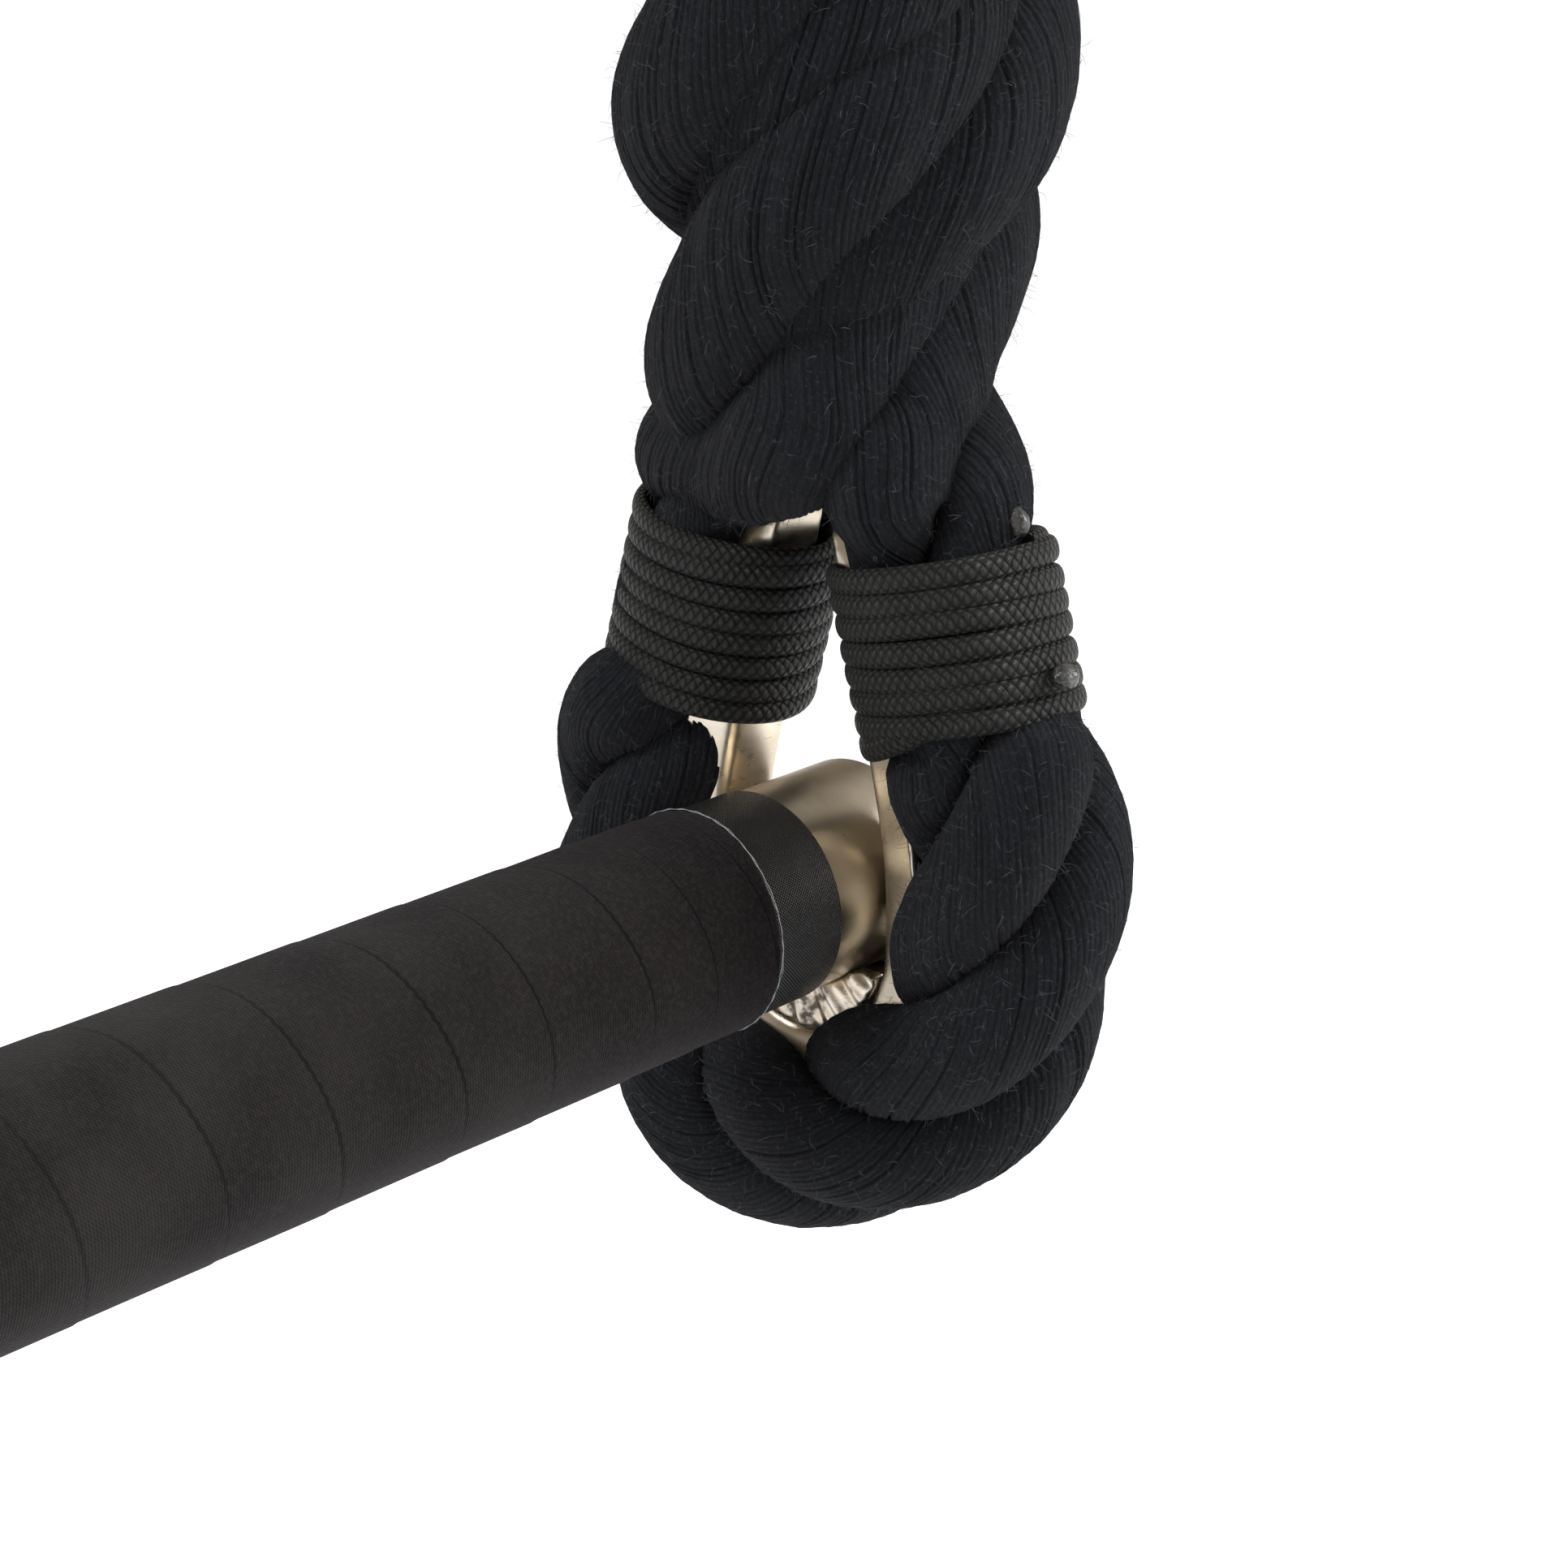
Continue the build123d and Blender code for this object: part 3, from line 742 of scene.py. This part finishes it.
def melted_bead(name, middle, along, length, radius):
    """A lumpy blob, drawn out along the cord it ends."""
    bpy.ops.object.select_all(action="DESELECT")
    bpy.ops.mesh.primitive_uv_sphere_add(segments=28, ring_count=18, radius=1)
    bead = bpy.context.object
    bead.name = name
    turn = Vector(along).to_track_quat("Z", "Y").to_matrix()
    for vertex in bead.data.vertices:
        point = vertex.co.copy()
        lump = 1 + 0.10 * math.sin(5 * point.x + 2.1 * point.z)
        lump = lump + 0.07 * math.sin(7 * point.y - 3 * point.z)
        squared = 1 + 0.16 * (1 - abs(point.z))
        across = radius * lump * squared
        point = Vector((point.x * across, point.y * across, point.z * length / 2))
        vertex.co = (turn @ point + Vector(middle)) * MM
    bpy.ops.object.shade_smooth()
    bead.data.materials.append(melted_material)
    return bead


def node_clusters(node):
    """Middle and long direction, in millimetres, of the two solids in a CAD node."""
    points = np.array([v.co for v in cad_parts[node].data.vertices]) / MM
    order = np.argsort(points[:, 2])
    heights = points[order, 2]
    split = int(np.argmax(np.diff(heights))) + 1
    for part in (points[order[:split]], points[order[split:]]):
        middle = (part.min(0) + part.max(0)) / 2
        _, _, axes = np.linalg.svd(part - part.mean(0))
        yield middle, axes[0], float(np.ptp((part - middle) @ axes[0]))


BEAD_RADIUS = 1.35
BEAD_SHARE = 0.9                             # of the CAD end's length
LOW_BEAD = np.array([0, 0, 1.3])             # set closer to the lashing by this much
TOP_BEAD = np.array([-0.3, 0.5, -1.6])
BEADS_CLOSER = {"lower": (LOW_BEAD, TOP_BEAD), "upper": (TOP_BEAD, LOW_BEAD)}
for end in ("lower", "upper"):
    for label in ("left", "right"):
        node = f"{end}_cord_ends_{label}"
        flip = np.array([1, 1, 1]) if end == "lower" else np.array([1, -1, -1])
        beads = []
        for closer, (middle, axis, length) in zip(BEADS_CLOSER[end], node_clusters(node)):
            place = middle + (LASHING[label][-1] + closer) * flip
            beads.append(melted_bead(f"{node}_bead", place, axis, length * BEAD_SHARE, BEAD_RADIUS))
        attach(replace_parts(joined(f"{node}_melted", beads), node), "eye")


# ---------------------------------------------------------------------------
# Thimbles and welds.  Pressed stainless channels with softly rounded edges, and
# the hand-laid beads that join the lower one to the bar.
# ---------------------------------------------------------------------------
def satin_steel(name, low, high, roughness, brushed=None):
    """Warm-toned stainless steel with cloudy patches of painted reflection and the marks of handling."""
    finish = Finish(name, high, roughness, 1.0)
    place = finish.object_place()
    painted_reflection_cloud = finish.noise(place, 55.0, 3.0)
    fine = finish.noise(place, 900.0, 4.0, 0.6)
    if brushed is not None:
        sides = [
            finish.math("MULTIPLY", part, scale) for part, scale in zip(finish.parts(place), brushed)
        ]
        streak = finish.join(*sides)
        fine = finish.noise(streak, 1.0, 4.0, 0.65)
    # Painted reflection: cloudy darker and lighter patches standing in for the surroundings mirrored in
    # the steel.
    base = finish.blend(finish.ramp(painted_reflection_cloud, 0.35, 0.65, 0, 1), low, high)
    rough = finish.ramp(fine, 0.3, 0.7, roughness - 0.04, roughness + 0.05)
    return finish.use(Base_Color=base, Roughness=rough, Normal=finish.relief(fine, 0.00002, 0.15))


thimble_steel = satin_steel("thimble_steel", (0.42, 0.36, 0.275), (0.64, 0.585, 0.49), 0.30)
BRUSHED = (350.0, 2600.0, 350.0)
bar_steel = satin_steel("bar_steel", (0.33, 0.275, 0.20), (0.54, 0.475, 0.375), 0.31, BRUSHED)


def softened(node, name, voxel, passes):
    """A copy of a CAD piece with its sharp edges eased."""
    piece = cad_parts[node].copy()
    piece.data = piece.data.copy()
    piece.name = name
    for key in list(piece.keys()):
        del piece[key]
    piece.parent = None
    bpy.context.scene.collection.objects.link(piece)
    piece.hide_render = piece.hide_viewport = False
    bpy.ops.object.select_all(action="DESELECT")
    piece.select_set(True)
    bpy.context.view_layer.objects.active = piece
    remesh = piece.modifiers.new("even_mesh", "REMESH")
    remesh.mode = "VOXEL"
    remesh.voxel_size = voxel * MM
    soften = piece.modifiers.new("eased_edges", "SMOOTH")
    soften.factor = 0.5
    soften.iterations = passes
    bpy.ops.object.modifier_apply(modifier="even_mesh")
    bpy.ops.object.modifier_apply(modifier="eased_edges")
    piece.data.materials.clear()
    bpy.ops.object.shade_smooth()
    return piece


for end in ("lower", "upper"):
    thimble = softened(f"{end}_thimble", f"{end}_thimble_pressing", 0.42, 10)
    thimble.data.materials.append(thimble_steel)
    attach(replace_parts(thimble, f"{end}_thimble"), "eye")


def bead_metal():
    """Weld metal: bright ripples with dark oxide in the hollows and a straw heat tint."""
    finish = Finish("weld_metal", (0.5, 0.45, 0.4), 0.3, 1.0)
    place = finish.object_place()
    lumps = finish.noise(place, 420.0, 4.0)
    tint = finish.noise(place, 160.0, 2.0)
    oxide, bright = (0.10, 0.085, 0.07), (0.58, 0.52, 0.44)
    base = finish.blend(finish.ramp(lumps, 0.34, 0.46, 0, 1), oxide, bright)
    base = finish.blend(finish.ramp(tint, 0.45, 0.7, 0, 0.5), base, (0.36, 0.22, 0.11))
    rough = finish.ramp(lumps, 0.3, 0.7, 0.5, 0.2)
    return finish.use(Base_Color=base, Roughness=rough, Normal=finish.relief(lumps, 0.00012, 0.6))


weld_metal = bead_metal()
for node in ("weld_front", "weld_back"):
    bead = softened(node, f"{node}_bead", 0.4, 40)
    points = np.array([v.co for v in bead.data.vertices]) / MM
    outer = np.sign(points[:, 1].mean())
    reach = np.clip((points[:, 1] * outer - 3.6) / 3.6, 0, 1)
    along = np.arctan2(points[:, 2], points[:, 0]) * 18
    lumps = 0.5 * np.sin(along * 1.1 + 0.8 * np.sin(along * 0.45))
    lumps = lumps + 0.25 * np.sin(along * 2.2 + points[:, 2])
    points[:, 1] += outer * reach * (0.6 * lumps - 1.2)
    bead.data.vertices.foreach_set("co", (points * MM).ravel().astype(np.float32))
    bead.data.materials.append(weld_metal)
    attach(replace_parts(bead, node), "eye")


# ---------------------------------------------------------------------------
# Bar.  A 28 mm steel tube with a satin finish and a pressed-in end plug.  These two
# keep their CAD shape.
# ---------------------------------------------------------------------------
def finish_node(node, material):
    """Give a CAD node its material."""
    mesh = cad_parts[node].data
    mesh.materials.clear()
    mesh.materials.append(material)


finish_node("bar_tube", bar_steel)
finish_node("bar_end_plug", bar_steel)


# ---------------------------------------------------------------------------
# Grip tape.  Brown-black cotton tape wound round the bar with each turn lapping the
# last; its edges carry thin dark scalloped lines of painted shadow.
# ---------------------------------------------------------------------------
GRIP_RADIUS = 15.0
GRIP_ENDS = (-161.8, -25.0)
LAP_STEP = 0.12
TAPE_EDGES = (-26, -36.9, -47.7, -64.4, -78.2, -96.4, -111.9, -129.9, -147, -164, -181)
GRIP_SIDES = 150
GRIP_ROWS = 360


def grip_winding():
    """Rings of the wound tape and, for each point, how many turns in it lies."""
    rows = np.linspace(GRIP_ENDS[0], GRIP_ENDS[1], GRIP_ROWS)
    turn = np.linspace(0, 1, GRIP_SIDES + 1)
    angle = 2 * math.pi * turn + math.pi
    edges = np.array(TAPE_EDGES, float)[::-1]
    numbers = np.arange(len(edges))[::-1]
    wound = np.interp(rows, edges, numbers)[:, None] - (turn - 0.5)[None]
    wound = wound + 0.006 * np.sin(angle * 5 + 1)[None] + 0.01 * np.sin(rows / 3.1)[:, None]
    share = wound % 1
    lap = LAP_STEP * (1 - share) * np.clip(share / 0.03, 0, 1)
    radius = GRIP_RADIUS - LAP_STEP + lap
    crease = 0.05 * np.sin(angle * 2.3)[None] * np.sin(rows / 7)[:, None]
    radius = radius + crease
    end_round = np.clip(np.minimum(rows - GRIP_ENDS[0], GRIP_ENDS[1] - rows) / 0.5, 0, 1)
    radius = radius - 0.5 * (1 - end_round[:, None]) ** 2
    place = angle[:-1]
    rings = np.stack(
        [
            radius[:, :-1] * np.cos(place),
            np.repeat(rows[:, None], GRIP_SIDES, 1),
            radius[:, :-1] * np.sin(place),
        ],
        -1,
    )
    return rings[:, ::-1], wound[:, ::-1]


def cotton_tape():
    """Napped cotton twill, with painted shadow along the lapped edges, painted shade in the low threads of
    the weave, and pale lint caught on it.
    """
    finish = Finish("cotton_tape", (0.012, 0.010, 0.010), 0.92)
    place = finish.object_place()
    x, y, z = finish.parts(place)
    _, wound, _ = finish.parts(finish.own_uv())
    # Painted shadow: a thin dark scalloped line along each lapped edge of the tape.
    turn = finish.math("ARCTAN2", z, x)
    scallop = finish.math("SINE", finish.math("MULTIPLY", turn, 62.0))
    share = finish.math("FRACT", finish.math("MULTIPLY_ADD", scallop, 0.0045, wound))
    edge = finish.math("MINIMUM", share, finish.math("SUBTRACT", 1.0, share))
    line = finish.ramp(edge, 0.008, 0.026, 1.0, 0.0)
    slant = finish.math("ADD", finish.math("MULTIPLY", turn, 172.0), finish.math("MULTIPLY", y, 12500.0))
    twill = finish.math("SINE", slant)
    thread = finish.math("SINE", finish.math("MULTIPLY", y, 15500.0))
    weave = finish.math("ADD", finish.math("MULTIPLY", twill, 0.5), finish.math("MULTIPLY", thread, 0.5))
    nap = finish.noise(place, 1500.0, 4.0, 0.7)
    patch = finish.noise(place, 60.0, 4.0)
    lint = finish.noise(place, 750.0, 3.0, 0.7)
    worn = finish.ramp(patch, 0.35, 0.7, 0, 1)
    # Two tones blended along the bar: darker near the eye, lighter towards the bar's far end.
    darker_near_eye = finish.blend(worn, (0.0034, 0.0024, 0.0026), (0.0080, 0.0062, 0.0064))
    lighter_towards_far_end = finish.blend(worn, (0.0085, 0.0070, 0.0072), (0.0165, 0.0145, 0.0145))
    base = finish.blend(finish.ramp(y, -0.115, -0.045, 1.0, 0.0), darker_near_eye, lighter_towards_far_end)
    base = finish.blend(finish.ramp(nap, 0.45, 0.75, 0, 0.5), base, (0.026, 0.022, 0.022))
    # Painted shade: darker in the low threads of the weave.
    base = finish.blend(finish.ramp(weave, -0.6, 0.8, 0.35, 0.0), base, (0.002, 0.0016, 0.0016))
    base = finish.blend(finish.ramp(lint, 0.775, 0.80, 0, 0.8), base, (0.20, 0.19, 0.18))
    # The painted shadow along the lapped edges fades towards the bar's far end.
    line = finish.math("MULTIPLY", line, finish.ramp(y, -0.14, -0.05, 0.45, 1.0))
    base = finish.blend(line, base, (0.0010, 0.0008, 0.0008))
    bump = finish.relief(weave, 0.00006, 0.8)
    bump = finish.relief(nap, 0.00016, 0.6, bump)
    finish.shader.inputs["Specular IOR Level"].default_value = 0.06
    finish.shader.inputs["Sheen Weight"].default_value = 0.02
    return finish.use(Base_Color=base, Normal=bump)


grip_rings, grip_turns = grip_winding()
grip = grid_piece("grip_winding", grip_rings, grip_turns, cotton_tape())
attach(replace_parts(grip, "grip_tape"), "eye")


# ---------------------------------------------------------------------------
# Finishing band.  One tight turn of glossy black coated cloth over the grip's end,
# with a pale frayed thread along its inner edge.
# ---------------------------------------------------------------------------
def coated_cloth():
    """Black cloth with a satin plastic coat over a plain weave."""
    finish = Finish("coated_cloth", (0.007, 0.007, 0.008), 0.33)
    place = finish.object_place()
    x, y, z = finish.parts(place)
    turn = finish.math("ARCTAN2", z, x)
    warp = finish.math("SINE", finish.math("MULTIPLY", turn, 188.0))
    weft = finish.math("SINE", finish.math("MULTIPLY", y, 13000.0))
    weave = finish.math("MULTIPLY", warp, weft)
    wear = finish.noise(place, 260.0, 4.0)
    coat, rubbed = (0.0016, 0.0016, 0.0020), (0.0095, 0.0095, 0.0105)
    base = finish.blend(finish.ramp(wear, 0.5, 0.75, 0, 0.5), coat, rubbed)
    rough = finish.ramp(weave, -1.0, 1.0, 0.38, 0.24)
    return finish.use(Base_Color=base, Roughness=rough, Normal=finish.relief(weave, 0.00007, 0.8))


finish_node("tape_end_band", coated_cloth())
thread_white = Finish("thread_white", (0.3, 0.3, 0.3), 0.9)
thread_tone = thread_white.noise(thread_white.object_place(), 1200.0, 3.0)
thread_white.use(Base_Color=thread_white.blend(thread_tone, (0.03, 0.03, 0.03), (0.32, 0.32, 0.33)))


def edge_thread(name, radius, size, sway, seed):
    """A closed, slightly wandering thread round the bar at the band's inner edge."""
    angle = np.linspace(0, 2 * math.pi, 361)
    wander = sway * (np.sin(angle * 5 + seed) + 0.6 * np.sin(angle * 13 + 2 * seed))
    fray = 0.05 * np.sin(angle * 37 + seed)
    centre = np.stack(
        [(radius + fray) * np.cos(angle), GRIP_ENDS[1] + wander, (radius + fray) * np.sin(angle)], 1
    )
    tangent = np.stack([-np.sin(angle), 0 * angle, np.cos(angle)], 1)
    out = np.stack([np.cos(angle), 0 * angle, np.sin(angle)], 1)
    side = np.cross(tangent, out)
    ring = np.linspace(0, 2 * math.pi, 8, endpoint=False)
    rings = centre[:, None] + size * (
        out[:, None] * np.cos(ring)[None, :, None] + side[:, None] * np.sin(ring)[None, :, None]
    )
    return grid_piece(name, rings, angle * radius, thread_white.material)


thick_thread = edge_thread("thread_a", GRIP_RADIUS, 0.055, 0.06, 0.4)
thin_thread = edge_thread("thread_b", GRIP_RADIUS, 0.035, 0.16, 2.0)
threads = joined("band_edge_thread", [thick_thread, thin_thread])
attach(threads, "eye")


# ---------------------------------------------------------------------------
# Shackle.  Forged bow and screw pin, both galvanised; they keep their CAD shape.
# ---------------------------------------------------------------------------
def galvanised(name, tone, roughness):
    """Zinc with a cloudy spangle and fine pits."""
    finish = Finish(name, tone, roughness, 0.9)
    place = finish.object_place()
    spangle = finish.noise(place, 300.0, 2.0)
    pits = finish.noise(place, 900.0, 5.0)
    dark = tuple(0.7 * c for c in tone)
    base = finish.blend(finish.ramp(spangle, 0.4, 0.6, 0, 1), dark, tone)
    rough = finish.ramp(pits, 0.3, 0.7, roughness - 0.08, roughness + 0.1)
    return finish.use(Base_Color=base, Roughness=rough, Normal=finish.relief(pits, 0.00012, 0.6))


finish_node("shackle_bow", galvanised("shackle_zinc", (0.46, 0.47, 0.48), 0.42))
finish_node("shackle_pin", galvanised("pin_zinc", (0.62, 0.60, 0.52), 0.30))
